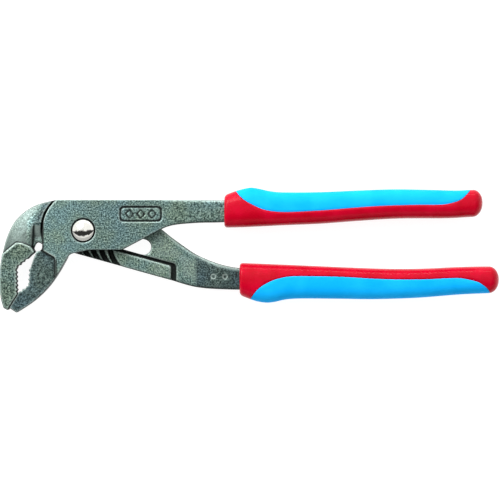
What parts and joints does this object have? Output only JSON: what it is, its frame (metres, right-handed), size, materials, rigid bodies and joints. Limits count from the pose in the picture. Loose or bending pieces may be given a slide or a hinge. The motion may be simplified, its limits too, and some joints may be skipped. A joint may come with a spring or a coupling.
{
  "type": "tongue and groove pliers",
  "caption": "Tongue and groove pliers with angled V-shaped jaws, an adjustable sliding pivot and two-colour grips.",
  "frame": {"origin": "centre of the flat back face of the pivot nut, on the pivot axis, at the level that the pliers lie on", "axes": "+X along the handles away from the jaws, +Y from the lower handle towards the upper handle, +Z out of the front face along the pivot axis"},
  "size_m": [0.2542, 0.0636, 0.0177],
  "materials": {
    "forged_steel": "blasted forged steel, satin, oiled",
    "polished_steel": "polished dome",
    "fastener_steel": "turned steel, satin",
    "red_core": "moulded hard plastic, semi-gloss",
    "blue_inlay": "moulded soft rubber, semi-matt"
  },
  "bodies": {
    "slotted_lever": {"slotted_jaw": "forged_steel", "lower_grip_core": "red_core", "lower_grip_inlay": "blue_inlay"},
    "pivot_carriage": {"pivot_bolt": "polished_steel", "pivot_nut": "fastener_steel", "slot_washer": "fastener_steel"},
    "plate_lever": {"plate_jaw": "forged_steel", "upper_grip_core": "red_core", "upper_grip_inlay": "blue_inlay"}
  },
  "joints": [
    {"name": "adjust_slide", "type": "slide", "parent": "slotted_lever", "child": "pivot_carriage", "axis": [0.9632, -0.2689, 0], "range_m": [0, 0.0294]},
    {"name": "jaw_pivot", "type": "hinge", "parent": "pivot_carriage", "child": "plate_lever", "pos_m": [0, 0, 0], "axis": [0, 0, 1], "range_deg": [0, 50]}
  ]
}
